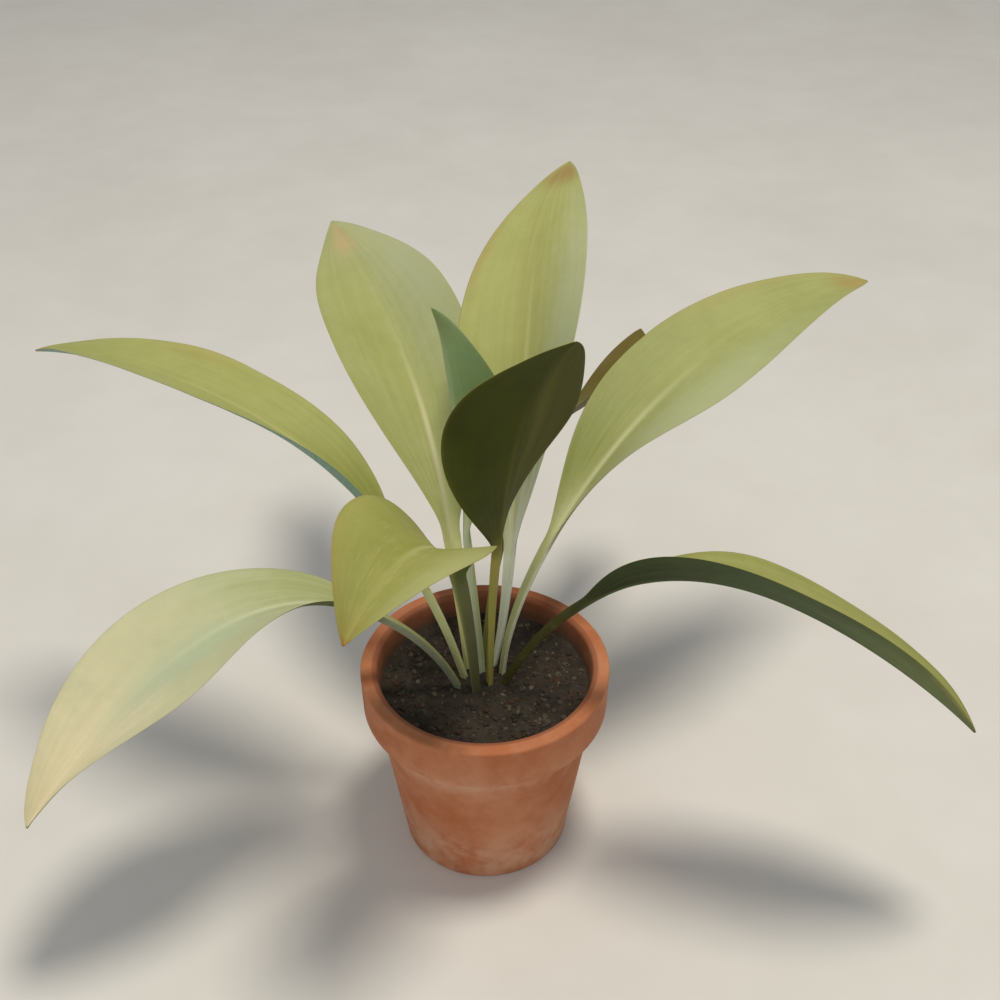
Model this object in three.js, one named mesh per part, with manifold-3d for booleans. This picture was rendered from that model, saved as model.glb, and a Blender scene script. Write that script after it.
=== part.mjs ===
// A cast-iron plant with ten leaves, growing in a filled terracotta pot.
// Millimetres, +Z up, -Y toward the viewer. The origin is the middle of the pot's flat foot.
import * as THREE from 'three';
import { mergeVertices } from 'three/addons/utils/BufferGeometryUtils.js';
import Module from 'manifold-3d';

const wasm = await Module();
wasm.setup();

// Pot: a tapered wall under a thicker collar, with drain holes round the middle of its floor
const POT_HEIGHT = 160;
const FOOT_RADIUS = 62;
const RIM_RADIUS = 90;
const COLLAR_HEIGHT = 34;
const COLLAR_STEP = 5;
const COLLAR_DRAFT = 1;
const WALL = 7;
const EDGE_ROUND = 2.5;
const POT_SIDES = 64;
const DRAIN_RADIUS = 6;
const DRAIN_CIRCLE = 34;
const DRAIN_COUNT = 3;
const FIRST_DRAIN = 30;
const DRAIN_SIDES = 20;

// Soil: filled to a finger's breadth under the rim, a little higher round the stalks
const SOIL_TOP = 143;
const SOIL_SLACK = 0.3;
const SOIL_MOUND = 3;
const SOIL_MOUND_RADIUS = 68;
const SOIL_ROUGHNESS = 0.9;
const SOIL_BUMPS = [7.3, 8.1, 4.7];
const SOIL_LEVEL_EDGE = 12;
const SOIL_RINGS = 7;

// Stalk: channelled, upright where it enters the soil and wider toward the blade
const GROUND = 145;
const STALK_DEPTH = 18;
const STALK_BEND = 8;
const STALK_THICKNESS = 3.4;
const HOLE_CLEARANCE = 0.4;

// Blade: a long oval, folded along its midrib, with a slightly waved margin. Shares are of its length.
const BLADE_THICKNESS = 0.7;
const BLADE_OPENS = [-0.02, 0.16];
const OVAL_POWER_FOOT = 1.1;
const OVAL_POWER_TIP = 0.8;
const TIP_START = 0.7;
const TIP_TAPER = 0.85;
const MIDRIB_THICKNESS = 1.6;
const MIDRIB_TAPER = 0.6;
const MIDRIB_POWER = 4;
const FOLD_SOFTNESS = 0.25;
const RIPPLE_HEIGHT = 1.6;
const RIPPLE_WAVES = 1.6;
const RIPPLE_SLANT = 1.2;
const RIPPLE_POWER = 1.5;
const RIPPLE_END = 0.15;

// How finely a leaf is made: shares of the half width, steps along it, and the step that its
// middle line is followed in
const ACROSS = [-1, -0.66, -0.3, 0, 0.3, 0.66, 1];
const STALK_STEPS = 4;
const BLADE_STEPS = 15;
const END_CROWDING = 0.04;
const WALK_STEP = 1;

const RADIANS = Math.PI / 180;
const FULL_TURN = 2 * Math.PI;

// Every leaf: where its stalk leaves the soil, the lengths of stalk and blade, the blade's half
// width, and the half width of the stalk at the soil and at the blade. pitch and heading, in degrees,
// are given at the soil, at the foot of the blade, at its middle and at its tip; roll and fold at
// the last three.
const LEAVES = {
  leaf_far_left: {
    foot: [-14, 0], stalk: 120, blade: 335, half: 46, stalkHalf: [2, 3.2],
    pitch: [75, 58, 11, -17], heading: [160, 163, 154, 149], roll: [-10, -20, -10], fold: [40, 15, 15],
  },
  leaf_low_left: {
    foot: [-18, -9], stalk: 89, blade: 293, half: 49, stalkHalf: [2.2, 4],
    pitch: [70, 37, -21, -41], heading: [182, 189, 215, 225], roll: [-14, -1, 7], fold: [29, 16, 50],
  },
  leaf_back_left: {
    foot: [-13, 9], stalk: 97, blade: 352, half: 59, stalkHalf: [2, 7],
    pitch: [59, 38, 17, 6], heading: [99, 102, 110, 116], roll: [-7, 10, 22], fold: [15, 29, 0],
  },
  leaf_front_upright: {
    foot: [2, -6], stalk: 120, blade: 185, half: 52, stalkHalf: [3.2, 6],
    pitch: [90, 84, 78, 45], heading: [20, 21, -5, -51], roll: [45, 50, 10], fold: [5, 10, 0],
  },
  leaf_back_middle: {
    foot: [6, 13], stalk: 90, blade: 330, half: 53, stalkHalf: [2, 5.5],
    pitch: [70, 71, 39, 5], heading: [50, 76, 84, 69], roll: [20, 30, 20], fold: [35, 15, 0],
  },
  leaf_front_arched: {
    foot: [-6, -12], stalk: 119, blade: 181, half: 49, stalkHalf: [3, 7],
    pitch: [85, 72, 20, -22], heading: [226, 244, 246, 248], roll: [-1, 8, 12], fold: [29, 20, 45],
  },
  leaf_inner_left: {
    foot: [-2, 5], stalk: 114, blade: 189, half: 34, stalkHalf: [2.4, 4.2],
    pitch: [79, 86, 87, 69], heading: [113, 152, 212, 213], roll: [-19, -12, -18], fold: [13, 35, 27],
  },
  leaf_far_right: {
    foot: [12, 4], stalk: 105, blade: 350, half: 48, stalkHalf: [2, 5],
    pitch: [85, 44, 20, -7], heading: [45, 47, 37, 31], roll: [5, 0, -5], fold: [45, 10, 20],
  },
  leaf_low_right: {
    foot: [13, -5], stalk: 110, blade: 310, half: 44, stalkHalf: [2.2, 3.6],
    pitch: [70, 47, -22, -45], heading: [-30, -20, -12, -10], roll: [35, 30, 10], fold: [35, 20, 30],
  },
  leaf_back_right: {
    foot: [-1, 17], stalk: 108, blade: 296, half: 44, stalkHalf: [2.2, 3.4],
    pitch: [73, 48, -19, 20], heading: [76, 67, 61, 76], roll: [16, 45, -7], fold: [35, 0, 12],
  },
};

const clamp01 = (x) => Math.min(1, Math.max(0, x));

const smooth = (low, high, x) => {
  const t = clamp01((x - low) / (high - low));
  return t * t * (3 - 2 * t);
};

// A curve through values given at places, level where they turn and never past them
function through(places, values, at) {
  const last = places.length - 1;
  const slope = (k) => (values[k + 1] - values[k]) / (places[k + 1] - places[k]);
  const lean = (k) => {
    const before = slope(Math.max(0, k - 1));
    const after = slope(Math.min(last - 1, k));
    return before * after > 0 ? (2 * before * after) / (before + after) : 0;
  };
  let k = 0;
  while (k < last - 1 && at >= places[k + 1]) {
    k += 1;
  }
  const step = places[k + 1] - places[k];
  const t = clamp01((at - places[k]) / step);
  const rest = 1 - t;
  return values[k] * (1 + 2 * t) * rest * rest + step * lean(k) * t * rest * rest
    + values[k + 1] * t * t * (3 - 2 * t) - step * lean(k + 1) * t * t * rest;
}

// Pitch, heading, roll and fold of a leaf, in radians, at a length along it from the soil
function posture(leaf, s) {
  const places = [0, leaf.stalk, leaf.stalk + leaf.blade / 2, leaf.stalk + leaf.blade];
  const buried = clamp01(-s / STALK_BEND);
  const pitch = through(places, leaf.pitch, s);
  return {
    pitch: (pitch + (90 - pitch) * buried) * RADIANS,
    heading: through(places, leaf.heading, s) * RADIANS,
    roll: through(places, [0, ...leaf.roll], s) * RADIANS,
    fold: through(places, [leaf.fold[0], ...leaf.fold], s) * RADIANS,
  };
}

function direction({ pitch, heading }) {
  return new THREE.Vector3(
    Math.cos(pitch) * Math.cos(heading),
    Math.cos(pitch) * Math.sin(heading),
    Math.sin(pitch),
  );
}

// The stations of a leaf from its buried end to its tip: its middle line there, and which way
// its right side and its upper side face
function stations(leaf, lengths) {
  const walk = (from, to, start) => {
    const point = start.clone();
    const steps = Math.max(1, Math.ceil(Math.abs(to - from) / WALK_STEP));
    const step = (to - from) / steps;
    for (let k = 0; k < steps; k += 1) {
      point.addScaledVector(direction(posture(leaf, from + (k + 0.5) * step)), step);
    }
    return point;
  };
  let reached = 0;
  let point = new THREE.Vector3(leaf.foot[0], leaf.foot[1], GROUND);
  return lengths.map((s) => {
    point = walk(reached, s, point);
    reached = s;
    const stance = posture(leaf, s);
    const along = direction(stance);
    const level = new THREE.Vector3(Math.sin(stance.heading), -Math.cos(stance.heading), 0);
    const upper = new THREE.Vector3().crossVectors(level, along);
    const right = level.clone().multiplyScalar(Math.cos(stance.roll));
    right.addScaledVector(upper, Math.sin(stance.roll));
    upper.multiplyScalar(Math.cos(stance.roll)).addScaledVector(level, -Math.sin(stance.roll));
    return { s, point, right, upper, fold: stance.fold };
  });
}

// Half the width at a share of the blade: a stalk, then a long oval that comes to a blunt point
function halfWidth(leaf, share) {
  const u = clamp01(share);
  const power = OVAL_POWER_FOOT + (OVAL_POWER_TIP - OVAL_POWER_FOOT) * u;
  const oval = leaf.half * Math.max(0, Math.sin(Math.PI * u)) ** power;
  const height = clamp01(1 + (share * leaf.blade) / leaf.stalk);
  const stalk = leaf.stalkHalf[0] + (leaf.stalkHalf[1] - leaf.stalkHalf[0]) * height;
  const core = stalk * (1 - TIP_TAPER * clamp01((u - TIP_START) / (1 - TIP_START)));
  return Math.cbrt(oval ** 3 + core ** 3);
}

// The outline of a leaf where it is cut across at a station: its upper face from left to right,
// then its lower face back
function outlineAt(leaf, station, phase) {
  const share = (station.s - leaf.stalk) / leaf.blade;
  const blade = smooth(...BLADE_OPENS, share);
  const half = halfWidth(leaf, share);
  const midrib = MIDRIB_THICKNESS * (1 - MIDRIB_TAPER * clamp01(share));
  const swell = RIPPLE_HEIGHT * blade * smooth(0, RIPPLE_END, 1 - share);
  const cuts = ACROSS.map((t) => {
    const side = Math.abs(t);
    const dish = (t * t) / (FOLD_SOFTNESS + (1 - FOLD_SOFTNESS) * side);
    const wave = Math.sin(FULL_TURN * (RIPPLE_WAVES * share + phase) + RIPPLE_SLANT * t);
    const top = half * Math.sin(station.fold) * dish + swell * wave * side ** RIPPLE_POWER;
    const stalk = (1 - blade) * STALK_THICKNESS * Math.sqrt(Math.max(0, 1 - t * t));
    const thickness = BLADE_THICKNESS + stalk + blade * midrib * (1 - side) ** MIDRIB_POWER;
    return { across: t * half * Math.cos(station.fold), top, bottom: top - thickness };
  });
  return [
    ...cuts.map((cut) => [cut.across, cut.top]),
    ...cuts.map((cut) => [cut.across, cut.bottom]).reverse(),
  ];
}

// An outline with every side moved outward by a clearance
function widened(outline, clearance) {
  const facing = (from, to) => {
    const length = Math.hypot(to[0] - from[0], to[1] - from[1]);
    return [(from[1] - to[1]) / length, (to[0] - from[0]) / length];
  };
  return outline.map((point, k) => {
    const [beforeX, beforeY] = facing(outline.at(k - 1), point);
    const [afterX, afterY] = facing(point, outline[(k + 1) % outline.length]);
    const reach = clearance / (1 + beforeX * afterX + beforeY * afterY);
    return [point[0] + (beforeX + afterX) * reach, point[1] + (beforeY + afterY) * reach];
  });
}

// An outline set in space at its station
function placed(outline, station) {
  return outline.map(([x, y]) => station.point.clone()
    .addScaledVector(station.right, x)
    .addScaledVector(station.upper, y));
}

// Joins rings of points into a closed skin. Both faces are split along the same diagonals, so a
// waved blade keeps its thickness.
function skin(rings) {
  const count = rings[0].length;
  const positions = rings.flat().flatMap((p) => [p.x, p.y, p.z]);
  const faces = [];
  for (let i = 0; i + 1 < rings.length; i += 1) {
    for (let j = 0; j < count; j += 1) {
      const a = i * count + j;
      const b = i * count + ((j + 1) % count);
      const c = a + count;
      const d = b + count;
      if (j < count / 2) {
        faces.push(a, b, d, a, d, c);
      } else {
        faces.push(a, b, c, b, d, c);
      }
    }
  }
  const end = rings.length * count - count;
  for (let left = 0; left < count / 2 - 1; left += 1) {
    const right = left + 1;
    const underLeft = count - 1 - left;
    const underRight = count - 1 - right;
    faces.push(left, underLeft, right, right, underLeft, underRight);
    faces.push(end + left, end + right, end + underLeft);
    faces.push(end + right, end + underRight, end + underLeft);
  }
  const geometry = new THREE.BufferGeometry();
  geometry.setAttribute('position', new THREE.Float32BufferAttribute(positions, 3));
  geometry.setIndex(faces);
  return geometry;
}

function leafGeometry(leaf, phase) {
  const lengths = [-STALK_DEPTH, -STALK_BEND, 0];
  for (let k = 1; k <= STALK_STEPS; k += 1) {
    lengths.push((leaf.stalk * k) / STALK_STEPS);
  }
  for (let k = 1; k <= BLADE_STEPS; k += 1) {
    const share = k / BLADE_STEPS;
    lengths.push(leaf.stalk + leaf.blade * (share - END_CROWDING * Math.sin(FULL_TURN * share)));
  }
  return skin(stations(leaf, lengths).map((station) => placed(outlineAt(leaf, station, phase), station)));
}

// The plain hole that a stalk stands in
function holeGeometry(leaf, phase) {
  const lengths = [-STALK_DEPTH - HOLE_CLEARANCE, -STALK_BEND, 0, leaf.stalk / STALK_STEPS];
  return skin(stations(leaf, lengths).map((station) => {
    const outline = outlineAt(leaf, station, phase);
    return placed(widened(outline, HOLE_CLEARANCE), station);
  }));
}

function toSolid(geometry) {
  const plain = geometry.clone();
  plain.deleteAttribute('normal');
  plain.deleteAttribute('uv');
  const merged = mergeVertices(plain);
  return new wasm.Manifold(new wasm.Mesh({
    numProp: 3,
    vertProperties: new Float32Array(merged.attributes.position.array),
    triVerts: new Uint32Array(merged.index.array),
  }));
}

function toGeometry(solid) {
  const mesh = solid.getMesh();
  const geometry = new THREE.BufferGeometry();
  geometry.setAttribute('position', new THREE.Float32BufferAttribute(mesh.vertProperties, 3));
  geometry.setIndex([...mesh.triVerts]);
  return geometry;
}

// Turns an outline of [radius, height] pairs round the upright axis
function turned(outline, sides) {
  const points = outline.map(([radius, height]) => new THREE.Vector2(radius, height));
  return new THREE.LatheGeometry(points, sides).rotateX(Math.PI / 2);
}

const taperRadius = (z) => FOOT_RADIUS + ((RIM_RADIUS - COLLAR_STEP - FOOT_RADIUS) * z) / POT_HEIGHT;
const innerRadius = (z) => taperRadius(z) - WALL;

function potGeometry() {
  const collar = POT_HEIGHT - COLLAR_HEIGHT;
  let pot = toSolid(turned([
    [0, 0],
    [FOOT_RADIUS - EDGE_ROUND, 0],
    [FOOT_RADIUS, EDGE_ROUND],
    [taperRadius(collar), collar],
    [RIM_RADIUS - COLLAR_DRAFT - EDGE_ROUND, collar],
    [RIM_RADIUS - COLLAR_DRAFT, collar + EDGE_ROUND],
    [RIM_RADIUS, POT_HEIGHT - EDGE_ROUND],
    [RIM_RADIUS - EDGE_ROUND, POT_HEIGHT],
    [innerRadius(POT_HEIGHT) + EDGE_ROUND, POT_HEIGHT],
    [innerRadius(POT_HEIGHT), POT_HEIGHT - EDGE_ROUND],
    [innerRadius(WALL + EDGE_ROUND), WALL + EDGE_ROUND],
    [innerRadius(WALL) - EDGE_ROUND, WALL],
    [0, WALL],
  ], POT_SIDES));
  for (let k = 0; k < DRAIN_COUNT; k += 1) {
    const turn = FIRST_DRAIN * RADIANS + (FULL_TURN * k) / DRAIN_COUNT;
    const drain = new THREE.CylinderGeometry(DRAIN_RADIUS, DRAIN_RADIUS, 3 * WALL, DRAIN_SIDES);
    drain.rotateX(Math.PI / 2);
    drain.translate(DRAIN_CIRCLE * Math.cos(turn), DRAIN_CIRCLE * Math.sin(turn), 0);
    pot = pot.subtract(toSolid(drain));
  }
  return toGeometry(pot);
}

// The soil's surface: slightly lumpy, but level where it meets the pot
function soilHeight(x, y) {
  const radius = Math.hypot(x, y);
  const mound = SOIL_MOUND * (1 - smooth(0, SOIL_MOUND_RADIUS, radius));
  const lumps = Math.sin(x / SOIL_BUMPS[0] + 1) * Math.cos(y / SOIL_BUMPS[1])
    + 0.6 * Math.sin((x + y) / SOIL_BUMPS[2]);
  return SOIL_TOP + mound
    + SOIL_ROUGHNESS * lumps * smooth(0, SOIL_LEVEL_EDGE, innerRadius(SOIL_TOP) - radius);
}

function soilGeometry() {
  const bottom = WALL + SOIL_SLACK;
  const reach = innerRadius(SOIL_TOP) - SOIL_SLACK;
  const outline = [
    [0, bottom],
    [innerRadius(WALL) - EDGE_ROUND - SOIL_SLACK, bottom],
    [innerRadius(WALL + EDGE_ROUND) - SOIL_SLACK, bottom + EDGE_ROUND],
    [reach, SOIL_TOP],
  ];
  for (let k = SOIL_RINGS - 1; k >= 0; k -= 1) {
    outline.push([(reach * k) / SOIL_RINGS, SOIL_TOP]);
  }
  const geometry = turned(outline, POT_SIDES);
  const position = geometry.attributes.position;
  for (let k = 0; k < position.count; k += 1) {
    if (position.getZ(k) > SOIL_TOP - 1) {
      position.setZ(k, soilHeight(position.getX(k), position.getY(k)));
    }
  }
  return geometry;
}

const terracotta = new THREE.MeshStandardMaterial({ color: 0xb5683f, roughness: 0.85, metalness: 0 });
const earth = new THREE.MeshStandardMaterial({ color: 0x3b2e24, roughness: 0.95, metalness: 0 });
const leafGreen = new THREE.MeshStandardMaterial({ color: 0xa6ad66, roughness: 0.5, metalness: 0 });

const plant = new THREE.Group();

function addPiece(name, geometry, material) {
  const mesh = new THREE.Mesh(geometry, material.clone());
  mesh.name = name;
  plant.add(mesh);
}

const leaves = Object.entries(LEAVES);
let soil = toSolid(soilGeometry());
leaves.forEach(([name, leaf], k) => {
  const phase = k / leaves.length;
  soil = soil.subtract(toSolid(holeGeometry(leaf, phase)));
  addPiece(name, leafGeometry(leaf, phase), leafGreen);
});
addPiece('pot', potGeometry(), terracotta);
addPiece('soil', toGeometry(soil), earth);

export default plant;
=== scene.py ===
# A cast-iron plant with ten leaves, growing in a terracotta pot
import math
import random

import bpy
import numpy as np
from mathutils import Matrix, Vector, noise


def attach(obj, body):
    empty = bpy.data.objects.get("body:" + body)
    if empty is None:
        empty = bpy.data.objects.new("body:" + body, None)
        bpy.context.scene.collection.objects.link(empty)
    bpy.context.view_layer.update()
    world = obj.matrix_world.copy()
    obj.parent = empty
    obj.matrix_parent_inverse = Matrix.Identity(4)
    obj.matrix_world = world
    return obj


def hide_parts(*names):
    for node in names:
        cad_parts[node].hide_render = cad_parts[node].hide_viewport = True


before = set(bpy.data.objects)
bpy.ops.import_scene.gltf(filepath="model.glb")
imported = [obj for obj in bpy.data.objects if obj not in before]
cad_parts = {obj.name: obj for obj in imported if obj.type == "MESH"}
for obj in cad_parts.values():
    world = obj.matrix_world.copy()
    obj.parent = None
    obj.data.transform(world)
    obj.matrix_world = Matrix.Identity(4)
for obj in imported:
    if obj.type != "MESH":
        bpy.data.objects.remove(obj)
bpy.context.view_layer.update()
millimetre = 0.001


def hexColour(text):
    parts = [int(text[k:k + 2], 16) / 255 for k in (0, 2, 4)]
    linear = [c / 12.92 if c < 0.04045 else ((c + 0.055) / 1.055) ** 2.4 for c in parts]
    return (*linear, 1)


def feed(tree, socket, value):
    # a socket is linked, anything else becomes the default value
    if isinstance(value, bpy.types.NodeSocket):
        tree.links.new(value, socket)
    else:
        socket.default_value = value


def calc(tree, operation, *values):
    made = tree.nodes.new("ShaderNodeMath")
    made.operation = operation
    for socket, value in zip(made.inputs, values):
        feed(tree, socket, value)
    return made.outputs[0]


def between(tree, value, low, high, start=0, end=1):
    # eased from start to end while value goes from low to high
    made = tree.nodes.new("ShaderNodeMapRange")
    made.interpolation_type = "SMOOTHSTEP"
    for socket, number in zip(made.inputs, (value, low, high, start, end)):
        feed(tree, socket, number)
    return made.outputs[0]


def blendColour(tree, factor, first, second, how="MIX"):
    made = tree.nodes.new("ShaderNodeMix")
    made.data_type = "RGBA"
    made.blend_type = how
    feed(tree, made.inputs[0], factor)
    feed(tree, made.inputs[6], first)
    feed(tree, made.inputs[7], second)
    return made.outputs[2]


def noiseField(tree, vector, scale, detail=2, roughness=0.5, warp=0):
    made = tree.nodes.new("ShaderNodeTexNoise")
    feed(tree, made.inputs["Vector"], vector)
    feed(tree, made.inputs["Scale"], scale)
    made.inputs["Detail"].default_value = detail
    made.inputs["Roughness"].default_value = roughness
    made.inputs["Distortion"].default_value = warp
    return made.outputs["Fac"]


def attribute(tree, name):
    made = tree.nodes.new("ShaderNodeAttribute")
    made.attribute_name = name
    return made.outputs["Fac"]


def place(tree):
    # object coordinates, which are metres in the part's own frame
    return tree.nodes.new("ShaderNodeTexCoord").outputs["Object"]


def newGroup(name, inputs, outputs):
    tree = bpy.data.node_groups.new(name, "ShaderNodeTree")
    for label, value in inputs.items():
        kind = "NodeSocketVector" if label == "Vector" else "NodeSocketFloat"
        socket = tree.interface.new_socket(label, in_out="INPUT", socket_type=kind)
        if label != "Vector":
            socket.default_value = value
    for label in outputs:
        tree.interface.new_socket(label, in_out="OUTPUT", socket_type="NodeSocketFloat")
    return tree, tree.nodes.new("NodeGroupInput").outputs, tree.nodes.new("NodeGroupOutput").inputs


def useGroup(tree, group, **values):
    made = tree.nodes.new("ShaderNodeGroup")
    made.node_tree = group
    for label, value in values.items():
        feed(tree, made.inputs[label], value)
    return made.outputs


def arrange(tree):
    # columns from left to right, by how far a node is from the end
    depth = {one.name: 0 for one in tree.nodes}
    for _ in range(len(tree.nodes)):
        for link in tree.links:
            depth[link.from_node.name] = max(depth[link.from_node.name], depth[link.to_node.name] + 1)
    rows = {}
    for one in tree.nodes:
        row = rows.get(depth[one.name], 0)
        one.location = (-220 * depth[one.name], -260 * row)
        rows[depth[one.name]] = row + 1


def newMaterial(name, roughness, specular=0.5):
    material = bpy.data.materials.new(name)
    material.use_nodes = True
    shader = material.node_tree.nodes["Principled BSDF"]
    shader.inputs["Roughness"].default_value = roughness
    shader.inputs["Specular IOR Level"].default_value = specular
    return material, material.node_tree, shader.inputs


def addBump(tree, shaderInputs, height, distance, strength=1):
    made = tree.nodes.new("ShaderNodeBump")
    made.inputs["Strength"].default_value = strength
    made.inputs["Distance"].default_value = distance
    feed(tree, made.inputs["Height"], height)
    tree.links.new(made.outputs["Normal"], shaderInputs["Normal"])


def mottlingGroup():
    # soft cloudy patches at one scale, with a finer cloud in them
    tree, given, result = newGroup("mottling", {"Vector": 0, "Scale": 30, "Contrast": 0.2}, ["Mask"])
    broad = noiseField(tree, given["Vector"], given["Scale"], 3, 0.55, 0.4)
    fine = noiseField(tree, given["Vector"], calc(tree, "MULTIPLY", given["Scale"], 4.3), 2, 0.6)
    cloud = calc(tree, "MULTIPLY_ADD", fine, 0.35, calc(tree, "MULTIPLY", broad, 0.65))
    low = calc(tree, "SUBTRACT", 0.5, given["Contrast"])
    high = calc(tree, "ADD", 0.5, given["Contrast"])
    tree.links.new(between(tree, cloud, low, high), result["Mask"])
    arrange(tree)
    return tree


def grainGroup():
    # a fine granular relief and a mask of its specks
    tree, given, result = newGroup("grain", {"Vector": 0, "Scale": 900}, ["Height", "Specks"])
    fine = noiseField(tree, given["Vector"], given["Scale"], 4, 0.7)
    cells = tree.nodes.new("ShaderNodeTexVoronoi")
    feed(tree, cells.inputs["Vector"], given["Vector"])
    feed(tree, cells.inputs["Scale"], calc(tree, "MULTIPLY", given["Scale"], 0.55))
    pits = between(tree, cells.outputs["Distance"], 0.05, 0.4)
    tree.links.new(calc(tree, "MULTIPLY", fine, pits), result["Height"])
    tree.links.new(between(tree, fine, 0.58, 0.72), result["Specks"])
    arrange(tree)
    return tree


def veinGroup():
    # long streaks that run with the leaf, short dashes beside them, and the fine parallel veins
    sockets = {"Across": 0, "Along": 0, "Seed": 0, "Count": 14}
    tree, given, result = newGroup("veins", sockets, ["Streak", "Dashes", "Height"])

    def stretched(count, runs, shift):
        joined = tree.nodes.new("ShaderNodeCombineXYZ")
        feed(tree, joined.inputs[0], calc(tree, "MULTIPLY", given["Across"], count))
        feed(tree, joined.inputs[1], calc(tree, "MULTIPLY", given["Along"], runs))
        feed(tree, joined.inputs[2], calc(tree, "ADD", given["Seed"], shift))
        return noiseField(tree, joined.outputs[0], 1, 2, 0.5)

    wide = stretched(given["Count"], 2.5, 0)
    narrow = stretched(calc(tree, "MULTIPLY", given["Count"], 4), 5, 7)
    turn = calc(tree, "MULTIPLY", given["Across"], calc(tree, "MULTIPLY", given["Count"], 30))
    line = calc(tree, "ABSOLUTE", calc(tree, "SINE", turn))
    streak = calc(tree, "MULTIPLY_ADD", narrow, 0.3, calc(tree, "MULTIPLY", wide, 0.7))
    tree.links.new(between(tree, streak, 0.34, 0.66), result["Streak"])
    short = stretched(calc(tree, "MULTIPLY", given["Count"], 6), 11, 19)
    tree.links.new(between(tree, short, 0.63, 0.72), result["Dashes"])
    ridges = calc(tree, "MULTIPLY", calc(tree, "POWER", line, 4), 0.3)
    tree.links.new(calc(tree, "MULTIPLY_ADD", narrow, 0.7, ridges), result["Height"])
    arrange(tree)
    return tree


def washGroup():
    # a soft oval area round one place on a leaf, a little ragged
    sockets = {"Across": 0, "Along": 0, "Ragged": 0, "AtAlong": 0.5, "Reach": 0.2, "AtAcross": 0, "Width": 0.5}
    tree, given, result = newGroup("wash", sockets, ["Mask"])
    away = []
    for place, middle, size in (("Along", "AtAlong", "Reach"), ("Across", "AtAcross", "Width")):
        offset = calc(tree, "DIVIDE", calc(tree, "SUBTRACT", given[place], given[middle]), given[size])
        away.append(calc(tree, "MULTIPLY", offset, offset))
    distance = calc(tree, "SQRT", calc(tree, "ADD", *away))
    tree.links.new(between(tree, calc(tree, "ADD", distance, given["Ragged"]), 1.15, 0.1), result["Mask"])
    arrange(tree)
    return tree


mottling = mottlingGroup()
grain = grainGroup()
veins = veinGroup()
wash = washGroup()
print("shader groups made")


# Lengths in millimetres; stalkHalf is the stalk's half width at the soil and at the blade. pitch and heading
# are degrees at the soil, at the foot of the blade, at its middle and at its tip; roll and fold at the
# last three.
leafShapes = {
    "leaf_far_left": dict(
        foot=(-14, 0), stalk=120, blade=335, half=46, stalkHalf=(2, 3.2),
        pitch=(75, 58, 11, -17), heading=(160, 163, 154, 149), roll=(-10, -20, -10), fold=(40, 15, 15)),
    "leaf_low_left": dict(
        foot=(-18, -9), stalk=89, blade=293, half=49, stalkHalf=(2.2, 4),
        pitch=(70, 37, -21, -41), heading=(182, 189, 215, 225), roll=(-14, -1, 7), fold=(29, 16, 50)),
    "leaf_back_left": dict(
        foot=(-13, 9), stalk=97, blade=352, half=59, stalkHalf=(2, 7),
        pitch=(59, 38, 17, 6), heading=(99, 102, 110, 116), roll=(-7, 10, 22), fold=(15, 29, 0)),
    "leaf_front_upright": dict(
        foot=(2, -6), stalk=120, blade=185, half=52, stalkHalf=(3.2, 6),
        pitch=(90, 84, 78, 45), heading=(20, 21, -5, -51), roll=(45, 50, 10), fold=(5, 10, 0)),
    "leaf_back_middle": dict(
        foot=(6, 13), stalk=90, blade=330, half=53, stalkHalf=(2, 5.5),
        pitch=(70, 71, 39, 5), heading=(50, 76, 84, 69), roll=(20, 30, 20), fold=(35, 15, 0)),
    "leaf_front_arched": dict(
        foot=(-6, -12), stalk=119, blade=181, half=49, stalkHalf=(3, 7),
        pitch=(85, 72, 20, -22), heading=(226, 244, 246, 248), roll=(-1, 8, 12), fold=(29, 20, 45)),
    "leaf_inner_left": dict(
        foot=(-2, 5), stalk=114, blade=189, half=34, stalkHalf=(2.4, 4.2),
        pitch=(79, 86, 87, 69), heading=(113, 152, 212, 213), roll=(-19, -12, -18), fold=(13, 35, 27)),
    "leaf_far_right": dict(
        foot=(12, 4), stalk=105, blade=350, half=48, stalkHalf=(2, 5),
        pitch=(85, 44, 20, -7), heading=(45, 47, 37, 31), roll=(5, 0, -5), fold=(45, 10, 20)),
    "leaf_low_right": dict(
        foot=(13, -5), stalk=110, blade=310, half=44, stalkHalf=(2.2, 3.6),
        pitch=(70, 47, -22, -45), heading=(-30, -20, -12, -10), roll=(35, 30, 10), fold=(35, 20, 30)),
    "leaf_back_right": dict(
        foot=(-1, 17), stalk=108, blade=296, half=44, stalkHalf=(2.2, 3.4),
        pitch=(73, 48, -19, 20), heading=(76, 67, 61, 76), roll=(16, 45, -7), fold=(35, 0, 12)),
}

# What every leaf shares, in millimetres and in shares of the blade's length
leafForm = dict(
    ground=145, stalkDepth=18, stalkBend=8, stalkThickness=3.4,
    bladeThickness=0.7, bladeOpens=(-0.02, 0.16), ovalPowerFoot=1.1, ovalPowerTip=0.8,
    tipStart=0.7, tipTaper=0.85, midribThickness=1.6, midribTaper=0.6, midribPower=4, foldSoftness=0.25,
    rippleHeight=1.6, rippleWaves=1.6, rippleSlant=1.2, ripplePower=1.5, rippleEnd=0.15,
    grooveDepth=0.45, grooveWidth=1.7, pleats=6, pleatHeight=0.1, buckle=0.7, rimThickness=0.3,
    acrossSteps=48, stalkSteps=22, bladeSteps=104, endCrowding=0.04,
)


def clamp01(x):
    return min(1.0, max(0.0, x))


def smooth(low, high, x):
    t = clamp01((x - low) / (high - low))
    return t * t * (3 - 2 * t)


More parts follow.
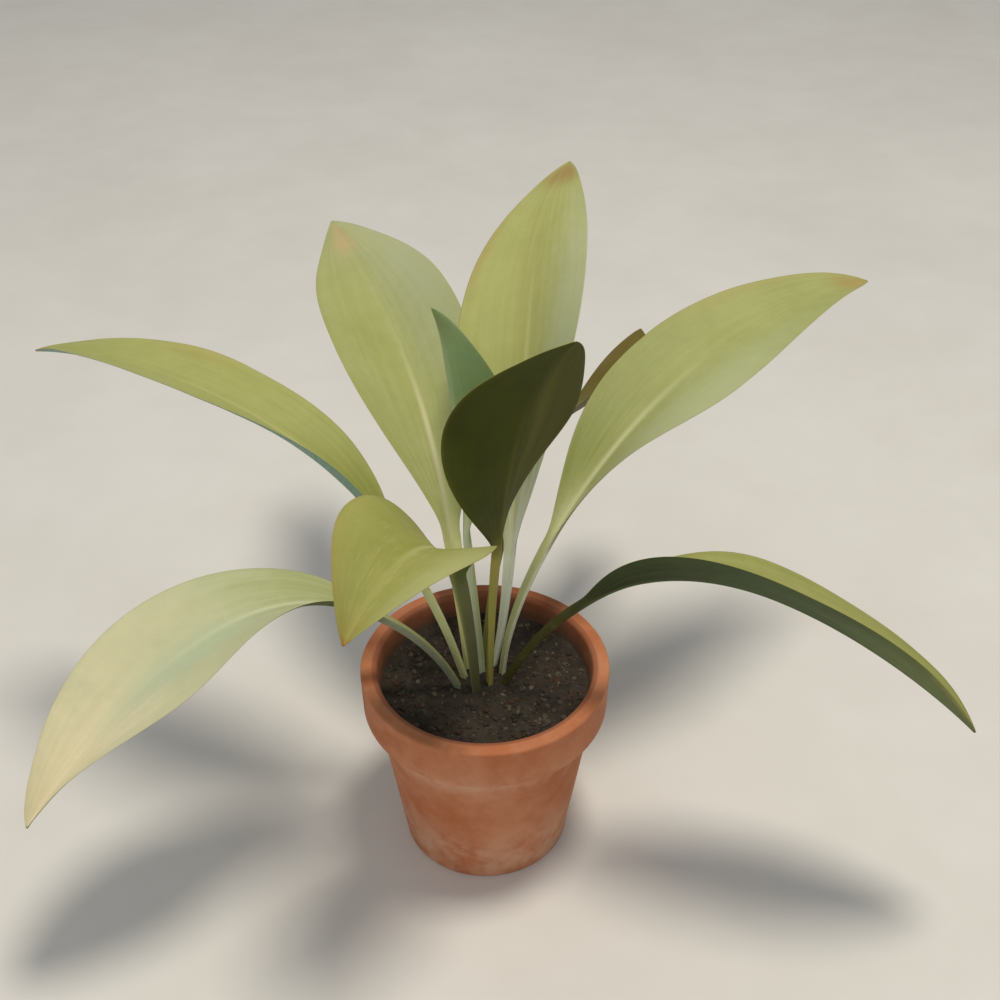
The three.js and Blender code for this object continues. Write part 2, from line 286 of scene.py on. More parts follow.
def through(places, values, at):
    # a curve through the values, level where they turn and never past them
    last = len(places) - 1

    def slope(k):
        return (values[k + 1] - values[k]) / (places[k + 1] - places[k])

    def lean(k):
        before, after = slope(max(0, k - 1)), slope(min(last - 1, k))
        return 2 * before * after / (before + after) if before * after > 0 else 0

    k = 0
    while k < last - 1 and at >= places[k + 1]:
        k += 1
    step = places[k + 1] - places[k]
    t = clamp01((at - places[k]) / step)
    rest = 1 - t
    return (values[k] * (1 + 2 * t) * rest * rest + step * lean(k) * t * rest * rest
            + values[k + 1] * t * t * (3 - 2 * t) - step * lean(k + 1) * t * t * rest)


def posture(shape, s):
    # pitch, heading, roll and fold in radians at a length from the soil
    places = (0, shape["stalk"], shape["stalk"] + shape["blade"] / 2, shape["stalk"] + shape["blade"])
    pitch = through(places, shape["pitch"], s)
    pitch += (90 - pitch) * clamp01(-s / leafForm["stalkBend"])
    heading = through(places, shape["heading"], s)
    roll = through(places, (0, *shape["roll"]), s)
    fold = through(places, (shape["fold"][0], *shape["fold"]), s)
    return [math.radians(angle) for angle in (pitch, heading, roll, fold)]


def direction(pitch, heading):
    return Vector((math.cos(pitch) * math.cos(heading), math.cos(pitch) * math.sin(heading), math.sin(pitch)))


def stationsOf(shape, lengths):
    # middle line, right side, upper side and fold at each length
    point = Vector((*shape["foot"], leafForm["ground"]))
    reached = 0
    found = []
    for s in lengths:
        steps = max(1, math.ceil(abs(s - reached)))
        step = (s - reached) / steps
        for k in range(steps):
            pitch, heading, _, _ = posture(shape, reached + (k + 0.5) * step)
            point = point + direction(pitch, heading) * step
        reached = s
        pitch, heading, roll, fold = posture(shape, s)
        level = Vector((math.sin(heading), -math.cos(heading), 0))
        upper = level.cross(direction(pitch, heading))
        right = level * math.cos(roll) + upper * math.sin(roll)
        upper = upper * math.cos(roll) - level * math.sin(roll)
        found.append((s, point, right, upper, fold))
    return found


def halfWidth(shape, share):
    # a stalk, then a long oval that comes to a blunt point
    form = leafForm
    u = clamp01(share)
    power = form["ovalPowerFoot"] + (form["ovalPowerTip"] - form["ovalPowerFoot"]) * u
    oval = shape["half"] * max(0, math.sin(math.pi * u)) ** power
    height = clamp01(1 + share * shape["blade"] / shape["stalk"])
    stalk = shape["stalkHalf"][0] + (shape["stalkHalf"][1] - shape["stalkHalf"][0]) * height
    core = stalk * (1 - form["tipTaper"] * clamp01((u - form["tipStart"]) / (1 - form["tipStart"])))
    return (oval ** 3 + core ** 3) ** (1 / 3)


def acrossPlaces():
    # closest together at the midrib, with one more place just inside each margin
    half = leafForm["acrossSteps"] // 2
    side = [k / half * (0.45 + 0.55 * k / half) for k in range(half + 1)]
    side.insert(-1, 0.986)
    return [-t for t in side[:0:-1]] + side


def leafSection(shape, station, phase):
    # upper and lower height over each place across, in millimetres
    s, point, _, _, fold = station
    form = leafForm
    share = (s - shape["stalk"]) / shape["blade"]
    blade = smooth(*form["bladeOpens"], share)
    waved = blade * smooth(0, form["rippleEnd"], 1 - share)
    midrib = blade * form["midribThickness"] * (1 - form["midribTaper"] * clamp01(share))
    groove = blade * form["grooveDepth"] * (1 - 0.75 * clamp01(share))
    half = halfWidth(shape, share)
    section = []
    for t in acrossPlaces():
        side = abs(t)
        x = t * half * math.cos(fold)
        dish = t * t / (form["foldSoftness"] + (1 - form["foldSoftness"]) * side)
        wave = math.sin(2 * math.pi * (form["rippleWaves"] * share + phase) + form["rippleSlant"] * t)
        pleat = math.sin(2 * math.pi * form["pleats"] * side ** 0.85 + 1.3 * phase)
        pleat *= (1 - side ** 6) * smooth(0.03, 0.15, side)
        crease = noise.noise(Vector((t * half / 32, s / 55, phase * 90))) * smooth(0.1, 0.9, side)
        top = half * math.sin(fold) * dish
        top += waved * form["rippleHeight"] * wave * side ** form["ripplePower"]
        top += waved * (form["pleatHeight"] * pleat + form["buckle"] * crease)
        thick = form["bladeThickness"] + midrib * (1 - side) ** form["midribPower"]
        thick += (1 - blade) * form["stalkThickness"] * math.sqrt(max(0, 1 - t * t))
        thick -= (thick - form["rimThickness"]) * smooth(0.97, 1, side)
        bottom = top - thick
        top -= groove * math.exp(-(x / form["grooveWidth"]) ** 2)
        section.append((t, x, top, bottom))
    return share, half, section


def leafPiece(name, shape, phase):
    form = leafForm
    lengths = [-form["stalkDepth"] * (1 - k / 4) for k in range(4)]
    lengths += [shape["stalk"] * k / form["stalkSteps"] for k in range(form["stalkSteps"])]
    for k in range(form["bladeSteps"] + 1):
        u = k / form["bladeSteps"]
        u -= form["endCrowding"] * math.sin(2 * math.pi * u)
        lengths.append(shape["stalk"] + shape["blade"] * u)
    vertices, across, along, fromRib, under = [], [], [], [], []
    count = 0
    for station in stationsOf(shape, lengths):
        share, half, section = leafSection(shape, station, phase)
        _, point, right, upper, _ = station
        count = len(section)
        ring = [(t, x, top, 0) for t, x, top, _ in section]
        ring += [(t, x, low, 1) for t, x, _, low in reversed(section)]
        for t, x, height, lower in ring:
            vertices.append((point + right * x + upper * height) * millimetre)
            across.append(t)
            along.append(share if share > 0 else station[0] / shape["stalk"] - 1)
            fromRib.append(abs(t) * half)
            under.append(lower)
    size = 2 * count
    faces = []
    for i in range(len(lengths) - 1):
        for j in range(size):
            k = (j + 1) % size
            faces.append((i * size + j, i * size + k, (i + 1) * size + k, (i + 1) * size + j))
    end = (len(lengths) - 1) * size
    for j in range(count - 1):
        faces.append((j, size - 1 - j, size - 2 - j, j + 1))
        faces.append((end + j, end + j + 1, end + size - 2 - j, end + size - 1 - j))
    mesh = bpy.data.meshes.new(name)
    mesh.from_pydata(vertices, [], faces)
    for label, values in (("across", across), ("along", along), ("fromRib", fromRib), ("underside", under)):
        layer = mesh.attributes.new(label, "FLOAT", "POINT")
        layer.data.foreach_set("value", np.array(values, np.float32))
    mesh.shade_smooth()
    piece = bpy.data.objects.new(name, mesh)
    bpy.context.scene.collection.objects.link(piece)
    return piece


# Colours of a leaf. A wash is a soft area of another colour: colour, place along the blade and reach,
# place across (-1 left margin, 1 right margin) and width, and how much of it shows.
# Some washes are the leaf's own tones and brown tips; others are painted light or painted shade, marked at each leaf
leafColours = dict(
    upper="a8ab64", deep="9ca15a", streak="b4b678", streakAmount=0.28, dashAmount=0.2,
    midrib="c6c78f", ribWidth=3.6, ribAmount=0.7, ribEnd=0.75, washes=(),
    # under and underDeep are much darker than the upper side: painted shade on the underside
    under="58622a", underDeep="49551f", underRib="7b8040", underWashes=(),
    # stalkPaintedLightSide is a painted lit side of the stalk; on leaf_inner_left it is darker, a painted shaded side
    stalk="9fa365", stalkPaintedLightSide="9fa365", stalkMottling=0.25, margin="b7a262", marginAmount=0.12, tip="b08c55", tipFrom=0.965,
)
leafLooks = {
    "leaf_far_left": dict(
        # the raised stalk colours are painted light against the shade in the pot
        midrib="bcbb80", under="8aab9e", underDeep="7d9d90", stalk="d6db9e", stalkPaintedLightSide="e6eaae",
        washes=(("8f9446", 0.12, 0.3, 0.4, 1.6, 0.7), ("ab9a58", 0.62, 0.14, 1, 0.35, 0.5))),
    "leaf_low_left": dict(
        # the pale cream and cool bluish colours of this leaf are a painted sheen, reflected light put into its colour
        upper="c2c49b", deep="b8bc92", streak="d0ceaa", streakAmount=0.2, midrib="d0d2ae", stalk="858b74", tipFrom=1.1,
        washes=(("e9dcb6", 0.98, 0.55, 0, 2, 0.95), ("b3c3a2", 0.5, 0.3, -0.15, 0.45, 0.8),
                ("9fa668", 0.12, 0.3, 0.6, 1.2, 0.95), ("d2cba4", 0.57, 0.17, 0.8, 0.45, 0.5), ("eee3bf", 0.82, 0.3, -0.5, 0.6, 0.55),
                ("cdcba2", 0.55, 0.3, -1, 0.4, 0.6))),
    "leaf_back_left": dict(
        upper="a6aa69", deep="9da25d", streak="b4b985", midrib="d2cea2", ribAmount=0.85, ribEnd=0.55,
        # the raised stalk colours and the pale yellow-green wash d4d98c at the blade's foot are painted light against
        # the shade there
        stalk="bab680", stalkPaintedLightSide="dce29a", tipFrom=1.1,
        washes=(("b9be96", 0.7, 0.55, 0.8, 0.9, 0.85), ("b1b282", 0.95, 0.25, 0, 2, 0.5),
                ("c6a97c", 0.92, 0.09, -0.15, 0.5, 0.75), ("d4d98c", 0.06, 0.2, 0.6, 1.1, 0.8))),
    "leaf_front_upright": dict(
        # its dark olive underside colours, washes included, are painted shade; its raised stalk colours are painted
        # light
        upper="8f9a4c", under="434a07", underDeep="393f06", underRib="5f611c", stalk="a59c54",
        stalkPaintedLightSide="aca250", tipFrom=1.1,
        underWashes=(("4f4e10", 0.6, 0.7, -0.6, 0.6, 0.9), ("66682a", 0.6, 0.5, -0.28, 0.18, 0.55),
                     ("62641c", 0.06, 0.16, -0.2, 1.2, 0.7))),
    "leaf_back_middle": dict(
        # stalk and stalkPaintedLightSide are raised near white: painted light on a stalk that the upright leaf shades
        upper="adb069", deep="a2a65f", tip="8d6838", tipFrom=0.99, stalk="dde2c8", stalkPaintedLightSide="f4f7e8",
        stalkMottling=0.06,
        # bbc29c is painted light over the shade on the lower right half, and f2f5e4 at the blade's foot is painted
        # light too
        washes=(("bbc29c", 0.42, 0.52, 0.9, 0.8, 0.85), ("a07c42", 0.945, 0.08, 0.15, 1.3, 0.85),
                ("a09a5a", 0.62, 0.5, -0.1, 0.3, 0.4), ("a8975c", 0.7, 0.2, -1, 0.25, 0.6),
                ("f2f5e4", 0.03, 0.26, 0.7, 1.7, 0.95))),
    "leaf_front_arched": dict(
        upper="9d9d53", deep="93954c", streak="abaa6a", dashAmount=0.32, stalk="5c6042", tip="a8803f",
        tipFrom=0.97, margin="a07f3c", marginAmount=0.35,
        washes=(("a9964e", 0.8, 0.4, 1, 0.3, 0.5), ("a5924a", 0.97, 0.12, 0.2, 1.4, 0.5),
                ("babd83", 0.6, 0.5, -0.9, 0.6, 0.75), ("aaac60", 0.6, 0.4, 0.9, 0.5, 0.5))),
    "leaf_inner_left": dict(
        upper="6f8a60", deep="62805a", streak="8aa17a", under="a0b980", underDeep="93af78", underRib="b8c79c",
        stalk="d2dbba", stalkPaintedLightSide="bcc38e", midrib="93a683", tipFrom=1.1,
        # dde5b4 lightens the underside at the blade's foot: painted light over the shade of the upright leaf
        stalkMottling=0.1, underWashes=(("dde5b4", 0.06, 0.2, -0.6, 1, 0.9), ("82864e", 0.97, 0.14, 0.2, 1.4, 0.75))),
    "leaf_far_right": dict(
        # the raised stalk colours and the pale washes c9cba4 and dee0b6 at the blade's foot are painted light against
        # the shade in the pot
        upper="a4aa68", deep="9aa05d", midrib="d2d3a6", ribWidth=4.6, ribAmount=0.75, ribEnd=0.6, stalk="c2c58c",
        stalkPaintedLightSide="e8eac6", tipFrom=1.1,
        washes=(("ad9153", 0.96, 0.07, 0, 1.5, 0.85), ("a9a060", 0.75, 0.3, -1, 0.35, 0.6),
                ("b3bb92", 0.35, 0.45, 0.8, 0.8, 0.85), ("878e46", 0.2, 0.25, -0.7, 0.7, 0.75),
                ("c9cba4", 0.02, 0.12, 0.3, 1.2, 0.85), ("dee0b6", 0.05, 0.14, 0.1, 1.2, 0.6))),
    "leaf_low_right": dict(
        upper="999c54", deep="8e924c", under="43532f", underDeep="394b22", underRib="5f7242", stalk="3a3814",
        stalkPaintedLightSide="3a3814", tipFrom=1.1,
        # 26280c and 2c3418 darken the underside's foot and middle as painted shade; 6e7a44 lightens it towards the tip
        # as painted light
        underWashes=(("26280c", 0.06, 0.35, 0, 2, 0.9), ("2c3418", 0.48, 0.22, -0.1, 0.4, 0.6), ("6e7a44", 0.85, 0.35, 0.6, 0.9, 0.85),
                     ("958c48", 0.88, 0.12, 1, 0.2, 0.9))),
    "leaf_back_right": dict(
        # its dark olive colours are painted shade from the leaves above it
        upper="6a6428", deep="625b22", streak="7a7234", midrib="7d7638", dashAmount=0.1, tip="8a6f3a",
        tipFrom=0.985, under="5a5620", underDeep="504c1a", underRib="6c6730", stalk="7c7c44",
        stalkPaintedLightSide="86864c", washes=(("6c5818", 0.9, 0.4, 0, 2, 0.6),)),
}


def leafFinish(name, look, seed):
    material, tree, shader = newMaterial(name, 0.45, 0.22)
    shader["Subsurface Weight"].default_value = 0.05
    shader["Subsurface Radius"].default_value = (0.6, 0.8, 0.2)
    shader["Subsurface Scale"].default_value = 0.001
    across, along = attribute(tree, "across"), attribute(tree, "along")
    fromRib, under = attribute(tree, "fromRib"), attribute(tree, "underside")
    colour = {key: hexColour(value) for key, value in look.items() if isinstance(value, str)}
    lines = useGroup(tree, veins, Across=across, Along=along, Seed=seed, Count=9)
    patches = useGroup(tree, mottling, Vector=place(tree), Scale=20, Contrast=0.2)["Mask"]
    blotches = useGroup(tree, mottling, Vector=place(tree), Scale=30, Contrast=0.3)["Mask"]
    ragged = calc(tree, "MULTIPLY_ADD", blotches, 0.3, calc(tree, "MULTIPLY_ADD", lines["Streak"], 0.1, -0.2))

    def washed(skin, washes):
        for tint, atAlong, reach, atAcross, width, amount in washes:
            mask = useGroup(tree, wash, Across=across, Along=along, Ragged=ragged, AtAlong=atAlong,
                            Reach=reach, AtAcross=atAcross, Width=width)["Mask"]
            skin = blendColour(tree, calc(tree, "MULTIPLY", mask, amount), skin, hexColour(tint))
        return skin

    ribShape = between(tree, fromRib, look["ribWidth"], 0.2)
    ribFades = between(tree, along, 0.2, look["ribEnd"], look["ribAmount"], 0)
    rib = calc(tree, "MULTIPLY", ribShape, ribFades)
    streaks = calc(tree, "MULTIPLY", lines["Streak"], look["streakAmount"])
    dashes = calc(tree, "MULTIPLY", lines["Dashes"], look["dashAmount"])

    face = washed(blendColour(tree, patches, colour["upper"], colour["deep"]), look["washes"])
    face = blendColour(tree, streaks, face, colour["streak"])
    face = blendColour(tree, dashes, face, colour["midrib"])
    face = blendColour(tree, rib, face, colour["midrib"])
    back = washed(blendColour(tree, patches, colour["under"], colour["underDeep"]), look["underWashes"])
    back = blendColour(tree, calc(tree, "MULTIPLY", streaks, 0.6), back, colour["underRib"])
    back = blendColour(tree, rib, back, colour["underRib"])
    skin = blendColour(tree, under, face, back)

    # one side of each stalk blends into stalkPaintedLightSide: painted light and shade across the stalk, as the key
    # light falls on it
    stalk = blendColour(tree, between(tree, across, -0.4, 0.6), colour["stalk"], colour["stalkPaintedLightSide"])
    stalk = blendColour(tree, calc(tree, "MULTIPLY", patches, look["stalkMottling"]), stalk, colour["deep"])
    skin = blendColour(tree, between(tree, along, 0.1, -0.06), skin, stalk)
    side = calc(tree, "MULTIPLY_ADD", ragged, 0.1, calc(tree, "ABSOLUTE", across))
    edge = calc(tree, "MULTIPLY", between(tree, side, 0.94, 1.02), look["marginAmount"])
    edge = calc(tree, "MULTIPLY", edge, between(tree, along, 0.1, 0.4))
    skin = blendColour(tree, edge, skin, colour["margin"])
    end = between(tree, calc(tree, "MULTIPLY_ADD", ragged, 0.08, along), look["tipFrom"], look["tipFrom"] + 0.03)
    skin = blendColour(tree, end, skin, colour["tip"])
    tree.links.new(skin, shader["Base Color"])

    gloss = between(tree, lines["Streak"], 0, 1, 0.42, 0.52)
    tree.links.new(calc(tree, "MULTIPLY_ADD", under, 0.15, gloss), shader["Roughness"])
    pores = useGroup(tree, grain, Vector=place(tree), Scale=1400)["Height"]
    relief = calc(tree, "MULTIPLY_ADD", pores, 0.15, lines["Height"])
    addBump(tree, shader, relief, 0.00025, 0.5)
    arrange(tree)
    return material


for number, (nodeName, shape) in enumerate(leafShapes.items()):
    words = nodeName.split("_")
    pieceName = words[0] + "".join(word.capitalize() for word in words[1:])
    leaf = leafPiece(pieceName, shape, number / len(leafShapes))
    leaf.data.materials.append(leafFinish(pieceName + "Skin", {**leafColours, **leafLooks[nodeName]}, number * 3.7))
    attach(leaf, "root")
    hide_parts(nodeName)
print("leaves made")


potForm = dict(
    height=160, footRadius=62, rimRadius=90, collarHeight=34, collarStep=5, collarDraft=1, wall=7,
    rounding=2.5, drainRadius=6, drainCircle=34, drainCount=3, firstDrain=30,
    sides=180, ringSpacing=1.5, wheelLine=0.09, unevenness=0.22,
)


def taperRadius(z):
    form = potForm
    return form["footRadius"] + (form["rimRadius"] - form["collarStep"] - form["footRadius"]) * z / form["height"]


def rounded(corners, radius, steps=5):
    # an outline of (radius, height) corners, each one but the ends turned into an arc
    outline = [Vector(corners[0])]
    for before, corner, after in zip(corners, corners[1:], corners[2:]):
        corner = Vector(corner)
        back, ahead = Vector(before) - corner, Vector(after) - corner
        reach = min(radius, back.length / 2.2, ahead.length / 2.2)
        start, finish = corner + back.normalized() * reach, corner + ahead.normalized() * reach
        for k in range(steps + 1):
            t = k / steps
            outline.append(start * (1 - t) ** 2 + corner * 2 * t * (1 - t) + finish * t * t)
    outline.append(Vector(corners[-1]))
    return outline


def filledIn(outline, spacing):
    # more points along the long stretches of an outline
    dense = [outline[0]]
    for before, after in zip(outline, outline[1:]):
        steps = max(1, round((after - before).length / spacing))
        dense += [before.lerp(after, (k + 1) / steps) for k in range(steps)]
    return dense


def turnedMesh(name, outline, sides, shaped):
    # turns an outline that starts and ends on the axis; shaped(radius, turn, height) gives the final point
    vertices = [shaped(0, 0, outline[0][1])]
    for radius, height in outline[1:-1]:
        vertices += [shaped(radius, 2 * math.pi * k / sides, height) for k in range(sides)]
    vertices.append(shaped(0, 0, outline[-1][1]))
    faces = [(0, 1 + (k + 1) % sides, 1 + k) for k in range(sides)]
    rings = len(outline) - 2
    for i in range(rings - 1):
        for k in range(sides):
            a, b = 1 + i * sides + k, 1 + i * sides + (k + 1) % sides
            faces.append((a, b, b + sides, a + sides))
    last = 1 + (rings - 1) * sides
    faces += [(last + k, last + (k + 1) % sides, len(vertices) - 1) for k in range(sides)]
    mesh = bpy.data.meshes.new(name)
    mesh.from_pydata([Vector(point) * millimetre for point in vertices], [], faces)
    piece = bpy.data.objects.new(name, mesh)
    bpy.context.scene.collection.objects.link(piece)
    return piece


def potPoint(radius, turn, height):
    form = potForm
    lift = smooth(2, 8, height) * smooth(0, 5, form["height"] - height)
    cloud = noise.noise(Vector((math.cos(turn) * 1.6, math.sin(turn) * 1.6, height / 45)))
    line = math.sin(height * 2.1 + 0.8 * math.sin(turn + height / 30))
    radius += lift * (form["unevenness"] * (cloud - 0.5) + form["wheelLine"] * (line - 1))
    return radius * math.cos(turn), radius * math.sin(turn), height


def applyModifier(piece, kind, **settings):
    added = piece.modifiers.new(kind.lower(), kind)
    for key, value in settings.items():
        setattr(added, key, value)
    bpy.context.view_layer.objects.active = piece
    bpy.ops.object.modifier_apply(modifier=added.name)


def potPiece():
    form = potForm
    collar = form["height"] - form["collarHeight"]
    inside = taperRadius(form["height"]) - form["wall"]
    corners = [
        (0, 0), (form["footRadius"], 0), (taperRadius(collar), collar),
        (form["rimRadius"] - form["collarDraft"], collar), (form["rimRadius"], form["height"]),
        (inside, form["height"]), (taperRadius(form["wall"]) - form["wall"], form["wall"]), (0, form["wall"]),
    ]
    outline = filledIn(rounded(corners, form["rounding"]), form["ringSpacing"])
    pot = turnedMesh("terracottaPot", outline, form["sides"], potPoint)
    for k in range(form["drainCount"]):
        turn = math.radians(form["firstDrain"] + 360 * k / form["drainCount"])
        middle = Vector((form["drainCircle"] * math.cos(turn), form["drainCircle"] * math.sin(turn), 0)) * millimetre
        bpy.ops.mesh.primitive_cylinder_add(vertices=48, radius=form["drainRadius"] * millimetre,
                                            depth=4 * form["wall"] * millimetre, location=middle)
        cutter = bpy.context.object
        applyModifier(pot, "BOOLEAN", operation="DIFFERENCE", solver="EXACT", object=cutter)
        bpy.data.objects.remove(cutter)
    pot.data.shade_smooth()
    pot.data.set_sharp_from_angle(angle=math.radians(40))
    return pot


clayColours = dict(fired="b4683f", pale="c68560", dark="9a5230", bloom="d9b79d", damp="7c4630", dust="5b4636")


def clayFinish():
    material, tree, shader = newMaterial("firedClay", 0.8, 0.35)
    colour = {key: hexColour(value) for key, value in clayColours.items()}
    where = place(tree)
    split = tree.nodes.new("ShaderNodeSeparateXYZ")
    tree.links.new(where, split.inputs[0])
    x, y, z = split.outputs
    radius = calc(tree, "SQRT", calc(tree, "ADD", calc(tree, "MULTIPLY", x, x), calc(tree, "MULTIPLY", y, y)))
    clouds = useGroup(tree, mottling, Vector=where, Scale=16, Contrast=0.2)["Mask"]
    stains = useGroup(tree, mottling, Vector=where, Scale=34, Contrast=0.12)["Mask"]
    speckle = useGroup(tree, grain, Vector=where, Scale=700)
    body = blendColour(tree, clouds, colour["fired"], colour["pale"])
    body = blendColour(tree, calc(tree, "MULTIPLY", speckle["Specks"], 0.5), body, colour["dark"])
    # lime bloom in patches above the foot and under the collar, where water has dried
    low = calc(tree, "MULTIPLY", between(tree, z, 0.075, 0.02), stains)
    high = calc(tree, "MULTIPLY", between(tree, calc(tree, "ABSOLUTE", calc(tree, "SUBTRACT", z, 0.118)), 0.022, 0), stains)
    bloom = calc(tree, "MULTIPLY", calc(tree, "MAXIMUM", low, high), 0.42)
    body = blendColour(tree, bloom, body, colour["bloom"])
    # the inside wall is darker and soiled near the earth
    wallRadius = calc(tree, "MULTIPLY_ADD", z, 0.144, 0.0585)
    inside = between(tree, calc(tree, "SUBTRACT", wallRadius, radius), -0.001, 0.001)
    inside = calc(tree, "MULTIPLY", inside, between(tree, z, 0.003, 0.012))
    soiled = calc(tree, "MULTIPLY", inside, between(tree, calc(tree, "MULTIPLY_ADD", stains, 0.004, z), 0.158, 0.146))
    body = blendColour(tree, calc(tree, "MULTIPLY", inside, 0.6), body, colour["damp"])
    body = blendColour(tree, calc(tree, "MULTIPLY", soiled, 0.75), body, colour["dust"])
    tree.links.new(body, shader["Base Color"])
    tree.links.new(calc(tree, "MULTIPLY_ADD", bloom, 0.2, 0.76), shader["Roughness"])
    addBump(tree, shader, speckle["Height"], 0.0003, 0.7)
    arrange(tree)
    return material


pot = potPiece()
pot.data.materials.clear()
pot.data.materials.append(clayFinish())
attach(pot, "root")
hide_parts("pot")
print("pot made")


soilForm = dict(
    top=143, slack=0.3, mound=3, moundRadius=68, sides=200, ringSpacing=0.9, lumpHeight=1.5,
    crumbCount=1500, crumbSmall=0.7, crumbLarge=2.6, seed=27,
)


def soilHeight(x, y):
    form = soilForm
    radius = math.hypot(x, y)
    edge = smooth(0, 8, taperRadius(form["top"]) - potForm["wall"] - radius)
    broad = noise.noise(Vector((x / 17, y / 17, 3)))
    clods = noise.noise(Vector((x / 5.2, y / 5.2, 8)))
    fine = noise.noise(Vector((x / 1.9, y / 1.9, 11)))
    height = form["mound"] * (1 - smooth(0, form["moundRadius"], radius))
    return form["top"] + height + form["lumpHeight"] * (0.5 * broad + 0.45 * clods + 0.3 * fine) * (0.35 + 0.65 * edge)


def soilPoint(radius, turn, height):
    x, y = radius * math.cos(turn), radius * math.sin(turn)
    if height > soilForm["top"] - 1.5:
        height = soilHeight(x, y)
    return x, y, height


def soilPiece():
    wall, slack = potForm["wall"], soilForm["slack"]
    bottom = wall + slack
    reach = taperRadius(soilForm["top"]) - wall - slack
    corners = [(0, bottom), (taperRadius(bottom) - wall - slack, bottom), (reach, soilForm["top"]), (0, soilForm["top"])]
    outline = rounded(corners[:3] + [(reach - 2, soilForm["top"])], 2)
    outline = filledIn(outline, 12) + filledIn([Vector((reach - 2, soilForm["top"])), Vector((0, soilForm["top"]))], soilForm["ringSpacing"])[1:]
    bed = turnedMesh("soilBed", outline, soilForm["sides"], soilPoint)
    bed.data.shade_smooth()
    return bed


def crumbsPiece():
    # loose crumbs and bits of bark on the soil, clear of the stalks and of the pot
    form = soilForm
    chance = random.Random(form["seed"])
    reach = taperRadius(form["top"]) - potForm["wall"]
    bpy.ops.mesh.primitive_ico_sphere_add(subdivisions=2, radius=1)
    pattern = bpy.context.object
    ball = [vertex.co.copy() for vertex in pattern.data.vertices]
    ballFaces = [tuple(face.vertices) for face in pattern.data.polygons]
    bpy.data.objects.remove(pattern)
    vertices, faces, tones = [], [], []
    for _ in range(form["crumbCount"]):
        size = form["crumbSmall"] + (form["crumbLarge"] - form["crumbSmall"]) * chance.random() ** 3
        radius = (reach - size - 1) * math.sqrt(chance.random())
        turn = 2 * math.pi * chance.random()
        x, y = radius * math.cos(turn), radius * math.sin(turn)
        if any(math.hypot(x - s["foot"][0], y - s["foot"][1]) < 3.5 + size for s in leafShapes.values()):
            continue
        stretch = Vector((1, 0.55 + 0.4 * chance.random(), 0.45 + 0.3 * chance.random())) * size
        spin = 2 * math.pi * chance.random()
        shift = Vector((chance.random(), chance.random(), chance.random())) * 50
        tone = chance.random()
        ground = soilHeight(x, y) + 0.25 * stretch.z
        start = len(vertices)
        for corner in ball:
            swell = 1 + 0.55 * noise.noise(corner * 2 + shift)
            local = Vector([corner[k] * stretch[k] * swell for k in range(3)])
            across = local.x * math.cos(spin) - local.y * math.sin(spin)
            ahead = local.x * math.sin(spin) + local.y * math.cos(spin)
            vertices.append(Vector((x + across, y + ahead, ground + local.z)) * millimetre)
            tones.append(tone)
        faces += [tuple(start + index for index in face) for face in ballFaces]
    mesh = bpy.data.meshes.new("soilCrumbs")
    mesh.from_pydata(vertices, [], faces)
    layer = mesh.attributes.new("tone", "FLOAT", "POINT")
    layer.data.foreach_set("value", np.array(tones, np.float32))
    crumbs = bpy.data.objects.new("soilCrumbs", mesh)
    bpy.context.scene.collection.objects.link(crumbs)
    return crumbs


soilColours = dict(earth="463e35", dark="2b2620", dry="5a5043", bark="4a372a", grit="6f6759")


def earthFinish(name, loose):
    material, tree, shader = newMaterial(name, 0.92, 0.25)
    colour = {key: hexColour(value) for key, value in soilColours.items()}
    where = place(tree)
    damp = useGroup(tree, mottling, Vector=where, Scale=45, Contrast=0.2)["Mask"]
    speckle = useGroup(tree, grain, Vector=where, Scale=850)
    body = blendColour(tree, damp, colour["earth"], colour["dark"])
    if loose:
        tone = attribute(tree, "tone")
        body = blendColour(tree, between(tree, tone, 0.45, 0.6), body, colour["dry"])
        body = blendColour(tree, between(tree, tone, 0.74, 0.8), body, colour["bark"])
        body = blendColour(tree, between(tree, tone, 0.98, 0.985), body, colour["grit"])
    body = blendColour(tree, calc(tree, "MULTIPLY", speckle["Specks"], 0.4), body, colour["dry"])
    tree.links.new(body, shader["Base Color"])
    tree.links.new(between(tree, damp, 0, 1, 0.95, 0.8), shader["Roughness"])
    addBump(tree, shader, speckle["Height"], 0.0006, 0.9)
    arrange(tree)
    return material


bed = soilPiece()
bed.data.materials.append(earthFinish("pottingSoil", False))
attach(bed, "root")
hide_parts("soil")
crumbs = crumbsPiece()
crumbs.data.materials.append(earthFinish("soilCrumb", True))
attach(crumbs, "root")
print("soil made")


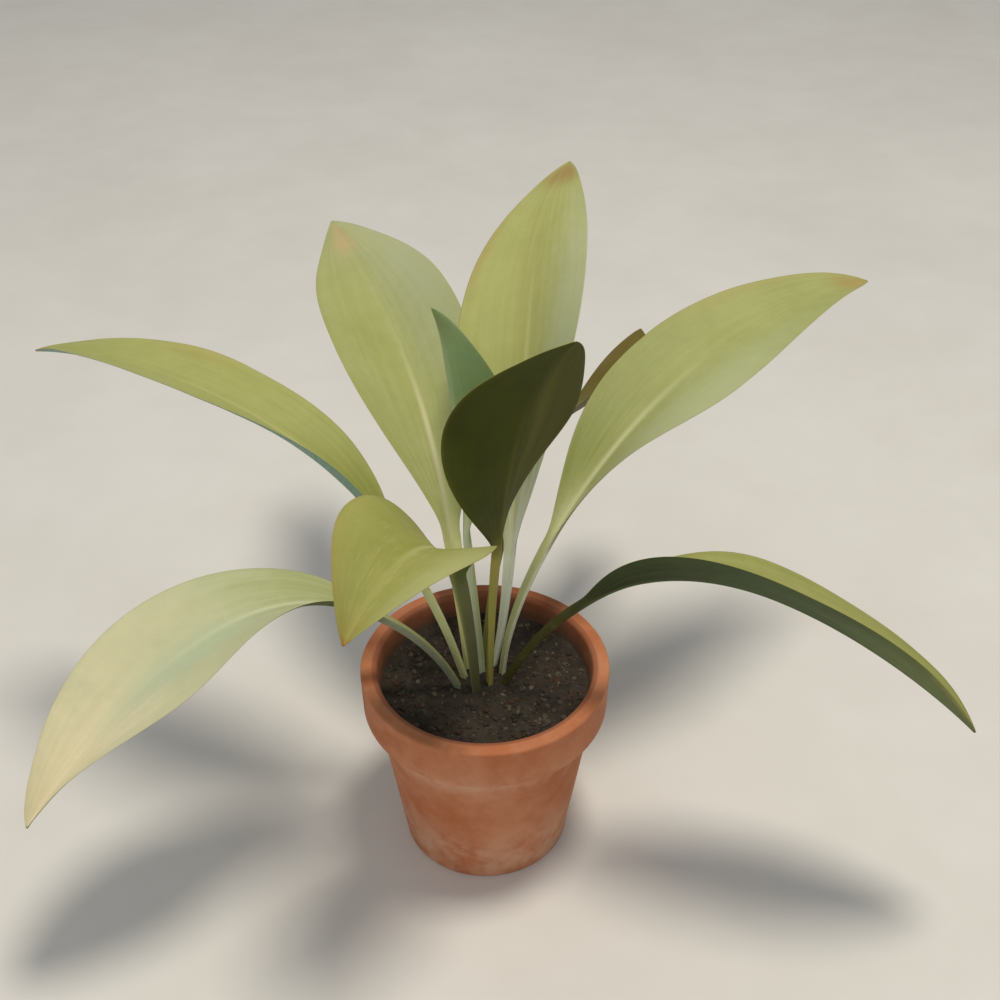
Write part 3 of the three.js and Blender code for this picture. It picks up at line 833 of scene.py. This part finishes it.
studio = dict(
    floorColour="e6e3dd", floorCloud="dcd8d1", keyPower=58, keySize=0.75, keyPlace=(0.45, -0.02, 3.2),
    keyTint="fff8ea", fillPower=9, fillSize=2.4, fillPlace=(-1.3, -1.9, 1.5),
    worldColour="e8ebee", worldStrength=0.42,
)


def floorPiece():
    bpy.ops.mesh.primitive_grid_add(x_subdivisions=40, y_subdivisions=40, size=9)
    floor = bpy.context.object
    floor.name = "studioFloor"
    material, tree, shader = newMaterial("floorPaint", 0.75, 0.3)
    cloud = useGroup(tree, mottling, Vector=place(tree), Scale=3, Contrast=0.3)["Mask"]
    pale = hexColour(studio["floorColour"])
    cloudy = hexColour(studio["floorCloud"])
    tree.links.new(blendColour(tree, cloud, pale, cloudy), shader["Base Color"])
    arrange(tree)
    floor.data.materials.append(material)


def softLight(name, power, size, spot, target, tint="ffffff"):
    light = bpy.data.lights.new(name, "AREA")
    light.shape = "DISK"
    light.size = size
    light.energy = power
    light.color = hexColour(tint)[:3]
    lamp = bpy.data.objects.new(name, light)
    lamp.location = spot
    lamp.rotation_euler = (Vector(target) - Vector(spot)).to_track_quat("-Z", "Y").to_euler()
    bpy.context.scene.collection.objects.link(lamp)


floorPiece()
softLight("keyLight", studio["keyPower"], studio["keySize"], studio["keyPlace"], (0, 0, 0.2), studio["keyTint"])
softLight("fillLight", studio["fillPower"], studio["fillSize"], studio["fillPlace"], (0, 0, 0.2))
world = bpy.data.worlds.new("studioAir")
bpy.context.scene.world = world
world.use_nodes = True
world.node_tree.nodes["Background"].inputs["Color"].default_value = hexColour(studio["worldColour"])
world.node_tree.nodes["Background"].inputs["Strength"].default_value = studio["worldStrength"]
bpy.context.scene.view_settings.view_transform = "Standard"

lens = bpy.data.cameras.new("photoCamera")
lens.lens = 50
lens.sensor_width = 36
camera = bpy.data.objects.new("photoCamera", lens)
camera.location = (0.0108, -0.7406, 0.8435)
camera.rotation_euler = (math.radians(54), 0, 0)  # looks 36 degrees down
bpy.context.scene.collection.objects.link(camera)
bpy.context.scene.camera = camera
print("studio made")
